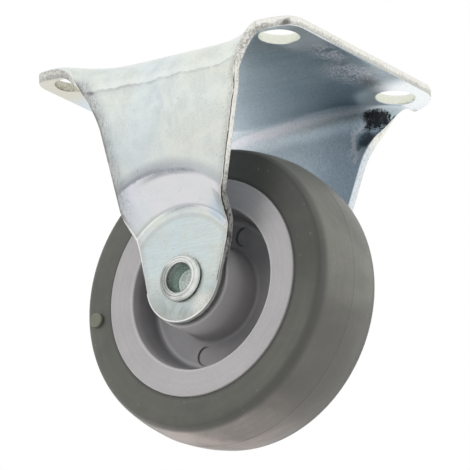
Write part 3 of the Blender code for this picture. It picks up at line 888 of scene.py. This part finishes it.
# A painted highlight along the top of the pad's bevel.
bevel_highlight = both(band(both(from_axle, 1000), 18.15, 18.4, 0.25, 0.15), upper_half, on_outside)
film = paint(film, (0.88, 0.88, 0.82), bevel_highlight, fade(x, 0.003, 0.011, 0.55, 0.15))
# Painted shade in the valleys at the ramp's foot and at the pad's edge.
foot_line = band(both(from_axle, 1000), 18.6, 18.75, 0.15, 0.5)
pad_line = band(both(from_axle, 1000), 16.1, 16.5, 0.8, 0.5)
valley_shade = both(more_of(foot_line, both(pad_line, 0.7)), upper_half, on_outside)
film = paint(film, (0.33, 0.36, 0.38), valley_shade, 0.45)
tell("zinc_plate")

# %% The line where the punch stopped, and a mark where water dried
wander = noise(stretched(space, (1, 0.2, 0.2)), 150.0)
line_height = plus(z, fade(wander, 0.25, 0.75, -0.0006, 0.0006))
line_height = both(line_height, 1000)
form_line = both(band(line_height, -8.6, -8.4, 0.7, 0.25), fade(small_patches, 0.0, 0.7, 0.35, 1.0),
                 fade(x, -0.012, 0.006, 1.0, 0.6))
under_line = both(band(line_height, -8.7, -8.3, 3.0, 0.3), fade(x, 0.004, -0.012, 0.2, 1.0))
over_line = both(band(line_height, -8.2, -7.6, 0.1, 2.0), 0.5)
film = paint(film, (0.86, 0.89, 0.86), over_line, on_outside)
film = paint(film, (0.42, 0.44, 0.46), under_line, on_outside, 0.18)
film = paint(film, (0.36, 0.36, 0.37), form_line, on_outside, 0.42)
stain_place = put("VectorMath", {0: space, 1: (0.0034, 0, 0.0164)}).outputs[0]
stain_place = put("Mapping", {"Vector": stain_place, "Rotation": (0, -0.16, 0)}).outputs[0]
stain_size = put("VectorMath", {0: stretched(stain_place, (400, 0, 165))}, operation="LENGTH")
stain_size = plus(stain_size.outputs["Value"], vary(small_patches, -0.22, 0.22))
stain = both(band(stain_size, 0.8, 0.95, 0.7, 0.25), near_side, on_outside)
stain = both(stain, fade(z, -0.023, -0.014, 0.2, 1.0), fade(x, -0.006, -0.001, 0.5, 1.0))
film = paint(film, (0.5, 0.545, 0.63), stain, 0.32)
tell("zinc_plate")

# %% Bloom, a painted shade near the right ear, and painted dark reflections with a painted light arc on the inner faces
bloom_at = maths("MINIMUM", distance_to((0.035, -0.011, -0.0025), (1.3, 0.7, 1)),
                 distance_to((0.0315, 0.0045, -0.0025), (0.9, 0.65, 1)))
bloom = both(fade(bloom_at, 8.0, 2.0), on_inside, fade(drawn_grain, 0.35, 0.6),
             fade(small_patches, 0.1, 0.5))
film = paint(film, (0.92, 0.89, 0.93), bloom, 0.8)
shade_at = plus(distance_to((0.0325, 0.012, -0.0025), (1.1, 0.7, 1)), vary(large_grain, -1.4, 1.4))
film = paint(film, (0.12, 0.1, 0.12), fade(shade_at, 3.4, 0.8), on_inside, 0.55)
ragged = plus(vary(small_patches, -1.1, 1.1), vary(large_grain, -0.4, 0.4))
# A painted reflection: a black patch on the far leg under the right ear.
painted_dark_reflection_at = plus(distance_to((0.0233, 0.0293, -0.0058), (0.72, 0.5, 1.4)), ragged)
painted_dark_reflection = both(fade(painted_dark_reflection_at, 3.4, 2.0), on_inside, fade(drawn_grain, 0.1, 0.5, 0.96, 1.0))
film = paint(film, (0.012, 0.012, 0.014), painted_dark_reflection, 0.97)
# Painted reflections: a dark bluish patch below the black one, and a light arc beside it.
second_dark_reflection_at = plus(distance_to((0.0212, 0.0282, -0.0113), (1.1, 0.5, 0.8)), ragged)
second_dark_reflection = both(fade(second_dark_reflection_at, 3.3, 0.6), on_inside)
film = paint(film, (0.06, 0.073, 0.085), second_dark_reflection, 0.85)
film = paint(film, (0.95, 0.94, 0.96), band(second_dark_reflection_at, 3.4, 4.2, 0.6, 1.2), on_inside,
             fade(x, 0.021, 0.018), 0.7)
tell("zinc_plate")

# %% Specks and scratches
speck_share = plus(fade(edge_reach, 4.0, 0.4, 0.015, 0.22), both(stretch, 0.2))
speck_share = plus(speck_share, both(left_ramp, 0.08))
pits = use(specks, {"Vector": space, "Scale": 1700.0, "Share": speck_share}).outputs[0]
film = paint(film, (0.26, 0.25, 0.24), pits, 0.5)
scratched = use(scratches, {"Vector": space, "Scale": 1.6, "Amount": 0.5}).outputs[0]
film = paint(film, (0.45, 0.46, 0.46), scratched, 0.3)
left_shade = both(fade(edge_reach, 5.0, 0.5), fade(x, -0.006, -0.012), on_outside, on_legs,
                  fade(small_grain, 0.1, 0.8, 1.0, 0.5), fade(z, -0.044, -0.036))
film = paint(film, (0.24, 0.25, 0.27), left_shade, fade(drawn_grain, 0.1, 0.8, 0.95, 0.5))
line_end = fade(distance_to((-0.0213, -0.031, -0.0088), (1, 0.6, 1.6)), 1.5, 0.4)
film = paint(film, (0.1, 0.1, 0.1), line_end, on_outside, 0.7)
rubbed = both(fade(edge_reach, 2.2, 0.3), on_outside, on_legs)
film = paint(film, (0.44, 0.42, 0.385), rubbed, vary(large_grain, 0.15, 0.6))
outline = both(fade(edge_reach, 0.9, 0.25), on_outside, on_legs, fade(small_patches, 0.1, 0.5),
               fade(z, -0.046, -0.04))
film = paint(film, (0.16, 0.16, 0.16), outline, fade(x, 0.002, -0.002, 0.1, 0.75))
# A painted highlight along the outer rim of the pad.
pad_rim_highlight = both(fade(edge_reach, 0.55, 0.3), on_outside, fade(z, -0.04, -0.046),
               fade(x, 0.009, 0.004))
film = paint(film, (0.93, 0.94, 0.93), pad_rim_highlight, 0.85)
tell("zinc_plate")

# %% Cut edges: smooth where they were cut, mottled where they tore, with a dark line between
mottle = noise(space, 1600.0, roughness=0.65)
wear = noise(space, 240.0)
mottled = fade(mottle, 0.38, 0.6)
torn_part = fade(plus(depth_in, fade(wear, 0.3, 0.7, -0.15, 0.15)), 0.4, 0.55)
smooth_cut = blend(mottled, (0.8, 0.79, 0.74), (0.9, 0.9, 0.84))
torn_cut = blend(mottled, (0.5, 0.48, 0.44), (0.84, 0.83, 0.79))
cut = blend(both(torn_part, fade(wear, 0.35, 0.6, 0.25, 0.9)), smooth_cut, torn_cut)
on_plate = fade(z, -0.0045, -0.0035)
cut = paint(cut, (0.5, 0.51, 0.48), on_plate, fade(depth_in, 0.45, 0.75), 0.6)
left_ears = both(fade(x, -0.022, -0.028), fade(z, -0.006, -0.0045))
cut = paint(cut, (0.36, 0.35, 0.34), left_ears, fade(mottle, 0.38, 0.62, 0.75, 0.3))
low_leg = both(fade(z, -0.03, -0.042), fade(z, -0.064, -0.056, 0.35, 1.0))
cut = paint(cut, blend(mottled, (0.16, 0.16, 0.16), (0.66, 0.66, 0.65)), low_leg, 0.5)
spot_at = plus(distance_to((0.0378, -0.0318, -0.0022)), fade(wear, 0.2, 0.8, -1.0, 1.0))
cut = paint(cut, (0.08, 0.08, 0.075), fade(spot_at, 1.6, 0.5), 0.8)
torn = noise(space, 420.0, 4.0)
torn_at = plus(depth_in, fade(torn, 0.2, 0.8, -0.07, 0.07))
torn_line = both(band(torn_at, 0.1, 0.21, 0.04, 0.06), fade(torn, 0.36, 0.46, 0.3, 1.0),
                 fade(z, -0.006, -0.013), near_side)
cut = paint(cut, (0.03, 0.028, 0.025), torn_line, 0.95)
jagged = both(fade(torn, 0.5, 0.56), low_leg, near_side, band(depth_in, 0.15, 0.75, 0.1, 0.1))
cut = paint(cut, (0.03, 0.03, 0.03), jagged, 0.7)
# The pad's cut edge is painted light next to the outer face as a highlight, and dark further in as a shadow.
pad_edge_highlight_and_shadow = blend(fade(torn_at, 0.42, 0.55), (0.72, 0.73, 0.71), (0.14, 0.14, 0.14))
cut = paint(cut, pad_edge_highlight_and_shadow, fade(z, -0.05, -0.056), near_side, 0.85)
at_fold = both(band(z, -0.0075, -0.003, 0.003, 0.0012), near_side, fade(x, 0.015, 0.02))
cut = paint(cut, (0.27, 0.26, 0.24), at_fold, fade(mottle, 0.42, 0.6, 0.6, 0.15))
far_cut = both(fade(y, 0.0, 0.001), fade(z, -0.01, -0.016))
cut = paint(cut, blend(mottled, (0.6, 0.66, 0.71), (0.74, 0.8, 0.84)), far_cut, 0.8)
x_hole = minus(size_of(x), HOLE_X)
y_hole = minus(size_of(y), HOLE_Y)
from_hole = maths("SQRT", plus(both(x_hole, x_hole), both(y_hole, y_hole)))
in_hole = fade(from_hole, HOLE_RADIUS + 0.0006, HOLE_RADIUS + 0.0003)
hole_tint = blend(fade(x, -0.01, 0.01), (0.44, 0.43, 0.34), (0.8, 0.82, 0.72))
hole_tint = paint(hole_tint, (0.92, 0.93, 0.84), mottled, 0.4)
cut = paint(cut, hole_tint, in_hole)
feed(shader, {"Base Color": blend(on_edge, film, cut)})
tell("zinc_plate")

# %% Gloss, haze and relief of the zinc
gloss = vary(large_grain, 0.15, 0.25)
folded_in = both(on_inside, band(both(z, 1000), -10.0, -3.2, 6.0, 0.5))
gloss = plus(more_of(gloss, both(on_inside, 0.31)), both(folded_in, 0.2))
gloss = plus(gloss, both(bloom, 0.14))
gloss = more_of(gloss, both(on_edge, 0.45))
haze = both(haze, minus(1.0, more_of(second_dark_reflection, painted_dark_reflection)))
height = plus(both(large_grain, 0.15), both(small_patches, 0.25))
height = plus(height, both(large_patches, 1.2))
height = minus(minus(height, both(pits, 0.4)), both(form_line, 0.5))
height = plus(height, both(on_edge, mottle, 3.0))
feed(shader, {"Roughness": gloss, "Metallic": minus(1.0, haze), "Normal": relief(height, 0.25, 0.00005)})
tell("zinc_plate")

# %% The zinc of the rivet: mottled and ringed on the rolled lip, with painted reflections that darken its left and lower side and lighten its right and upper side, and dark and greenish in the bore, with painted shade just under the lip
rivet_zinc, tree, shader = new_material("zinc_rivet", Metallic=1.0, Roughness=0.35)
space = put("TexCoord").outputs["Object"]
radius, rings, along = use(turned_rings, {"Vector": space, "Scale": 3200.0}).outputs
fine_patches, fine_grain = cloudy(space, 420.0, 2400.0)
tint = blend(fine_patches, (0.52, 0.54, 0.52), (0.8, 0.81, 0.79))
ringed = vary(rings, 0.0, 0.45)
tint = paint(tint, (0.3, 0.32, 0.31), ringed)
off_groove = off(radius, 0.005)
tint = paint(tint, (0.25, 0.25, 0.25), fade(off_groove, 0.00022, 0.00008, 0.0, 0.3))
x, y, z = put("SeparateXYZ", {0: space}).outputs
near_end = maths("LESS_THAN", y, 0.0)
# Painted reflections: darker on the left and lower side of the lip, lighter on the right and upper side.
painted_dark_side = both(fade(x, -0.001, -0.0042), fade(z, -0.053, -0.0548), near_end)
tint = paint(tint, (0.2, 0.205, 0.195), painted_dark_side, vary(rings, 0.45, 0.8))
painted_bright_side = more_of(fade(x, 0.0015, 0.0045), fade(z, -0.0548, -0.0535))
tint = paint(tint, (0.9, 0.92, 0.9), painted_bright_side, near_end, vary(rings, 0.65, 0.25))
in_bore = fade(radius, 0.0038, 0.00372)
deep = fade(along, 0.0206, 0.0196)
wall = both(in_bore, fade(radius, 0.0033, 0.00342), deep)
wall_tint = blend(fine_patches, (0.36, 0.48, 0.43), (0.42, 0.53, 0.48))
# Painted shade on the bore wall just under the lip.
wall_tint = paint(wall_tint, (0.12, 0.15, 0.14), fade(along, 0.0188, 0.0206, 0.0, 0.75))
tint = paint(tint, wall_tint, wall)
at_floor = fade(radius, 0.00342, 0.0033)
tint = paint(tint, blend(fine_patches, (0.62, 0.63, 0.61), (0.86, 0.87, 0.85)), at_floor)
height = plus(both(rings, vary(fine_patches, 0.4, 1.4)), both(fine_grain, 0.4))
feed(shader, {"Base Color": tint, "Roughness": vary(fine_grain, 0.24, 0.42),
              "Normal": relief(height, 0.5, 0.00006)})
tell("zinc_rivet")

# %% [markdown]
# ### Grey plastic and grey rubber
#
# The hub is satin plastic, faintly ringed by the tool that cut its mould, with painted shade in the recess
# and painted highlights on its lip and ledge. The tyre is softer and duller. It scuffs and gathers dust on
# the tread, so it is paler there; its lower tread is painted paler still as bounced light, and painted shade
# darkens its shoulder, a band above the lower tread and the upper right of its side.

# %% The hub's plastic
plastic, tree, shader = new_material("grey_plastic", Roughness=0.45)
space = put("TexCoord").outputs["Object"]
x, y, z = put("SeparateXYZ", {0: space}).outputs
radius, rings, along = use(turned_rings, {"Vector": space, "Scale": 1100.0}).outputs
fine_patches, fine_grain = cloudy(space, 110.0, 1900.0)
tint = blend(fine_patches, (0.455, 0.443, 0.447), (0.49, 0.474, 0.478))
in_recess = both(fade(radius, 0.0212, 0.0203), fade(radius, 0.0112, 0.012))
# Painted shade in the recess, deepest towards the web.
recess_shade = both(in_recess, fade(along, 0.0127, 0.0095, 0.0, 1.0))
tint = paint(tint, blend(fine_patches, (0.255, 0.25, 0.26), (0.31, 0.3, 0.305)), recess_shade)
# Painted shade in the corner between the wall and the web.
corner_shade = both(in_recess, fade(radius, 0.018, 0.0192), fade(along, 0.01, 0.0055))
tint = paint(tint, (0.13, 0.128, 0.135), corner_shade, 0.6)
# Painted shade on the barrel.
barrel_shade = fade(radius, 0.0122, 0.0119)
tint = paint(tint, (0.32, 0.31, 0.315), barrel_shade, 0.5)
ring_share = fade(radius, 0.0125, 0.011, 0.1, 0.3)
tint = paint(tint, (0.28, 0.27, 0.28), rings, ring_share)
# A painted highlight along the ring's inner lip.
off_lip = off(radius, 0.0212)
lip = both(fade(off_lip, 0.0004, 0.00015), fade(along, 0.0116, 0.0122))
tint = paint(tint, (0.68, 0.67, 0.66), lip, 0.8)
# A painted highlight on the rounded corner at the foot of the recess wall.
off_ledge = off(radius, 0.0183)
ledge_highlight = both(fade(off_ledge, 0.0006, 0.0002), fade(along, 0.0062, 0.0053))
tint = paint(tint, (0.5, 0.49, 0.5), ledge_highlight, 0.4)
for degrees in PIN_MARKS:
    angle = math.radians(degrees)
    mark = AXLE + Vector((PIN_MARK_REACH * math.cos(angle), 0, PIN_MARK_REACH * math.sin(angle)))
    flat_place = stretched(space, (1, 0, 1))
    from_mark = put("VectorMath", {0: flat_place, 1: mark}, operation="DISTANCE").outputs["Value"]
    off_rim = off(from_mark, PIN_MARK_RADIUS)
    # A painted shadow inside one side of each pin mark.
    shadow_side = fade(x, mark.x + 0.0008, mark.x - 0.0012)
    mark_shadow = both(fade(off_rim, 0.00035, 0.0001), fade(y, -0.0058, -0.0053), shadow_side,
               maths("LESS_THAN", y, 0.0))
    tint = paint(tint, (0.05, 0.05, 0.05), mark_shadow, 0.7)
# Painted light on the lower part of the ring.
painted_light_low_ring = both(fade(z, -0.072, -0.082), fade(radius, 0.0211, 0.0214))
tint = paint(tint, (0.68, 0.65, 0.65), painted_light_low_ring, 0.15)
tint = paint(tint, (0.22, 0.21, 0.22), fine_grain, 0.1)
height = plus(both(rings, 0.6), both(fine_grain, 0.5))
feed(shader, {"Base Color": tint, "Roughness": vary(fine_grain, 0.36, 0.5),
              "Normal": relief(height, 0.35, 0.00003)})
tell("grey_plastic")

# %% The tyre's rubber
rubber, tree, shader = new_material("grey_rubber", Roughness=0.5)
space = put("TexCoord").outputs["Object"]
radius, rings, along = use(turned_rings, {"Vector": space, "Scale": 700.0}).outputs
fine_patches, fine_grain = cloudy(space, 120.0, 1800.0)
broad_patches = cloudy(space, 38.0, 700.0)[0]
tint = blend(fine_patches, (0.098, 0.099, 0.086), (0.122, 0.122, 0.106))
tint = paint(tint, (0.075, 0.075, 0.066), rings, 0.2)
tint = paint(tint, (0.045, 0.046, 0.042), fade(radius, 0.0289, 0.0281), 0.55)
on_crown = both(fade(along, 0.0112, 0.0092), fade(radius, 0.0352, 0.0362))
scuffs_patches, scuffs_grain = cloudy(stretched(space, (0.07, 1, 0.07)), 900.0, 2600.0)
dust = both(on_crown, fade(broad_patches, 0.1, 0.9, 0.45, 0.92))
dust = both(dust, vary(scuffs_patches, 0.93, 1.03), vary(fine_grain, 0.85, 1.05))
x, y, z = put("SeparateXYZ", {0: space}).outputs
# Dust on the tread, painted paler and pinker on the lower tread, where it also stands for light bounced from
# below.
dust_and_low_light_tint = blend(fade(z, -0.084, -0.0945), (0.242, 0.24, 0.212), (0.52, 0.455, 0.43))
tint = paint(tint, dust_and_low_light_tint, dust)
tint = paint(tint, (0.35, 0.34, 0.31), on_crown, scuffs_grain, 0.04)
# Painted shade on the shoulder, stronger lower down.
shoulder_shade = both(fade(along, 0.0085, 0.0105), fade(radius, 0.0345, 0.0352))
tint = paint(tint, (0.06, 0.06, 0.052), shoulder_shade, fade(z, -0.04, -0.075, 0.22, 0.45))
dusting = use(specks, {"Vector": space, "Scale": 1900.0,
                       "Share": fade(broad_patches, 0.3, 0.9, 0.02, 0.3)}).outputs[0]
tint = paint(tint, (0.4, 0.395, 0.36), on_crown, dusting, 0.3)
# Painted shade in a band above the lower tread.
low_tread_shade = band(z, -0.089, -0.072, 0.003, 0.014)
tint = paint(tint, (0.085, 0.082, 0.073), low_tread_shade, fade(radius, 0.034, 0.035), 0.4)
# A painted shadow on the upper right of the tyre's side, under the leg.
side_shadow = both(fade(x, 0.002, 0.02), fade(z, -0.078, -0.05),
                 fade(along, 0.0112, 0.0118))
tint = paint(tint, (0.035, 0.036, 0.032), side_shadow, 0.5)
motes = use(specks, {"Vector": space, "Scale": 1000.0, "Share": 0.02}).outputs[0]
tint = paint(tint, (0.36, 0.35, 0.31), motes, 0.22)
# The stub's own greenish tint, painted lighter as light falling on it.
on_stub = fade(along, 0.0127, 0.013)
tint = paint(tint, (0.175, 0.18, 0.135), on_stub)
height = plus(plus(both(fine_grain, 0.6), both(on_crown, scuffs_patches, 0.8)), both(motes, 0.5))
feed(shader, {"Base Color": tint, "Roughness": vary(fine_grain, 0.42, 0.56),
              "Normal": relief(height, 0.3, 0.00004)})
tell("grey_rubber")

# %% [markdown]
# ## Each piece takes its finish and its place in the model
#
# A piece rides on a body, so that the wheel's pieces turn with the wheel, and it stands for its packed
# node.

# %% Dress the pieces
for piece, finish, body, node_name, slot in (
        (bracket, zinc, "frame", "bracket", "zinc_plate"),
        (rivet, rivet_zinc, "frame", "axle_rivet", "zinc_rivet"),
        (hub, plastic, "wheel", "wheel_hub", "grey_plastic"),
        (tyre, rubber, "wheel", "tyre", "grey_rubber")):
    piece.data.materials.clear()
    piece.data.materials.append(finish)
    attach(piece, body)
    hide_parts(node_name)
    print(piece.name, "stands for", node_name)

# %% [markdown]
# ## The studio
#
# The photograph looks up at the castor from below the wheel, so a plain floor would be in the way. The
# floor is seen from above only: from below, its back is clear. The world is white to the camera and in
# reflections, and softer as a light, so that colours come out as they are written.

# %% The floor, clear from below
only()
bpy.ops.mesh.primitive_plane_add(size=2.4, location=(0, 0, cad_box[0].z - 0.0002))
floor = bpy.context.object
floor.name = "floor"
bpy.ops.object.transform_apply(location=True, rotation=False, scale=False)
floor.visible_glossy = False
floor.visible_shadow = False
floor_white, tree, shader = new_material("floor_white", Roughness=0.9)
seen = put("LightPath").outputs["Is Camera Ray"]
feed(shader, {"Base Color": (0.86, 0.86, 0.86, 1), "Emission Color": (1, 1, 1, 1),
              "Emission Strength": both(seen, 0.3)})
back, clear = put("NewGeometry").outputs["Backfacing"], put("BsdfTransparent").outputs[0]
mix = put("MixShader", {0: back, 1: shader.outputs[0], 2: clear})
feed(tree.nodes["Material Output"], {"Surface": mix.outputs[0]})
floor.data.materials.append(floor_white)
tell("floor_white")

# %% The white world
world = bpy.data.worlds.new("studio")
bpy.context.scene.world = world
world.use_nodes = True
tree = world.node_tree
ray = put("LightPath").outputs
seen = more_of(more_of(ray["Is Camera Ray"], ray["Is Glossy Ray"]), ray["Is Transmission Ray"])
feed(tree.nodes["Background"], {"Strength": vary(seen, 0.5, 1.0), "Color": (1, 1, 1, 1)})
tell("studio")

# %% The lamps
def lamp(name, way, size, power):
    """A square lamp one metre from the castor. It lights, but does not show in the metal."""
    way = Vector(way).normalized()
    light = bpy.data.lights.new(name, "AREA")
    light.shape = "SQUARE"
    light.size = size
    light.energy = power
    made = bpy.data.objects.new(name, light)
    bpy.context.scene.collection.objects.link(made)
    made.location = AXLE + way
    made.rotation_mode = "QUATERNION"
    made.rotation_quaternion = (-way).to_track_quat("-Z", "Y")
    made.visible_glossy = False
    print(name, "gives", power, "W")


lamp("key", (-0.26, -0.91, 0.33), 0.5, 3.5)
lamp("low_fill", (-0.60, 0.05, -0.80), 0.8, 6.0)
lamp("side_fill", (0.85, 0.40, 0.34), 1.2, 3.6)

# %% A soft grey card that only the metal sees: the dark horizon in its reflections
only()
way = Vector((-0.58, -0.76, -0.42)).normalized()
bpy.ops.mesh.primitive_plane_add(size=1)
card = bpy.context.object
card.name = "horizon_card"
card.matrix_world = (Matrix.Translation(AXLE * 0.5 + way * 0.6)
                     @ way.to_track_quat("Z", "Y").to_matrix().to_4x4() @ Matrix.Diagonal((0.38, 0.28, 1, 1)))
bpy.ops.object.transform_apply(location=True, rotation=True, scale=True)
card.visible_camera = card.visible_diffuse = card.visible_shadow = False
card_grey, tree, shader = new_material("horizon_card_paint", Roughness=1.0)
sides = put("SeparateXYZ", {0: put("TexCoord").outputs["UV"]}).outputs
share = both(1.0, *[fade(off(side, 0.5), 0.5, 0.5 - soft) for side, soft in zip(sides, (0.3, 0.4))])
glow = put("Emission", {"Color": blend(share, (1, 1, 1), (0.48, 0.50, 0.54)), "Strength": 1.0})
feed(tree.nodes["Material Output"], {"Surface": glow.outputs[0]})
card.data.materials.append(card_grey)
tell("horizon_card_paint")

# %% [markdown]
# ## The camera
#
# Its place, turn and lens were solved from the photograph: it stands in front, to the right and below.

# %% Place the camera
azimuth, rise, roll = math.radians(36.20), math.radians(18.41), math.radians(1.268)
ahead = Vector((-math.sin(azimuth) * math.cos(rise), math.cos(azimuth) * math.cos(rise), math.sin(rise)))
level = Vector((math.cos(azimuth), math.sin(azimuth), 0))
above = level.cross(ahead)
right = math.cos(roll) * level + math.sin(roll) * above
up = -math.sin(roll) * level + math.cos(roll) * above
eye = AXLE - (-0.00108 * right - 0.01617 * up + 1.12424 * ahead)
camera = bpy.data.objects.new("camera", bpy.data.cameras.new("camera"))
bpy.context.scene.collection.objects.link(camera)
camera.matrix_world = Matrix(((right.x, up.x, -ahead.x, eye.x), (right.y, up.y, -ahead.y, eye.y),
                              (right.z, up.z, -ahead.z, eye.z), (0, 0, 0, 1)))
PHOTO_WIDTH, FOCAL_PIXELS, SENSOR = 470, 4525, 36
camera.data.sensor_width = SENSOR
camera.data.lens = FOCAL_PIXELS / PHOTO_WIDTH * SENSOR
camera.data.clip_start = 0.05
camera.data.clip_end = 20
bpy.context.scene.camera = camera
bpy.context.scene.view_settings.view_transform = "Standard"
print("the camera stands at", [round(side, 3) for side in eye])
